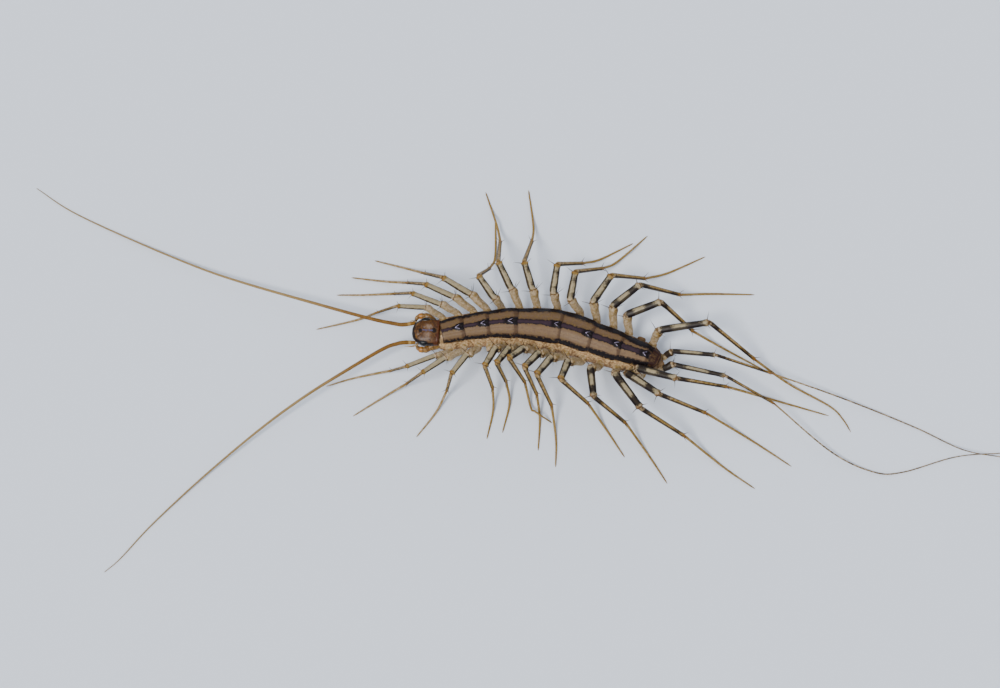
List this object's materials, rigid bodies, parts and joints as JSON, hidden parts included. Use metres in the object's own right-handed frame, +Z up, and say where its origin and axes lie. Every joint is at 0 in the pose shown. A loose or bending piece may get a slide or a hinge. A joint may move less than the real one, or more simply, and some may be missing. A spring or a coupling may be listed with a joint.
{
  "type": "house centipede model",
  "caption": "Life-size house centipede standing on its long jointed legs, with arched back plates, long feelers and trailing last legs.",
  "frame": {"origin": "middle of the model's outline on the floor that it stands on", "axes": "the head looks along -X, the animal's right side faces +Y, +Z is up"},
  "size_m": [0.119, 0.0482, 0.0065],
  "materials": {
    "back_plate": "satin chitin, tan brown with three violet black stripes",
    "trunk": "soft skin, mottled tan",
    "head": "polished chitin, red brown",
    "eye": "glossy black facets",
    "feeler": "ringed amber chitin",
    "poison_claw": "polished amber chitin",
    "leg": "satin translucent chitin, pale tan with dark bands"
  },
  "bodies": {
    "root": {"back_plate_1": "back_plate", "back_plate_2": "back_plate", "back_plate_3": "back_plate", "back_plate_4": "back_plate", "back_plate_5": "back_plate", "back_plate_6": "back_plate", "back_plate_7": "back_plate", "back_plate_8": "back_plate", "trunk_fore": "trunk", "trunk_middle": "trunk", "trunk_hind": "trunk", "telson": "trunk", "head": "head", "eye_L": "eye", "feeler_L": "feeler", "poison_claw_L": "poison_claw", "eye_R": "eye", "feeler_R": "feeler", "poison_claw_R": "poison_claw", "leg_L01": "leg", "leg_L02": "leg", "leg_L03": "leg", "leg_L05": "leg", "leg_L06": "leg", "leg_L07": "leg", "leg_L08": "leg", "leg_L09": "leg", "leg_L10": "leg", "leg_L11": "leg", "leg_L12": "leg", "leg_L13": "leg", "leg_L14": "leg", "leg_L15": "leg", "leg_R01": "leg", "leg_R02": "leg", "leg_R03": "leg", "leg_R04": "leg", "leg_R05": "leg", "leg_R06": "leg", "leg_R07": "leg", "leg_R08": "leg", "leg_R09": "leg", "leg_R10": "leg", "leg_R11": "leg", "leg_R12": "leg", "leg_R14": "leg", "leg_R15": "leg", "stump_L04": "leg", "stump_R13": "leg"}
  },
  "joints": []
}
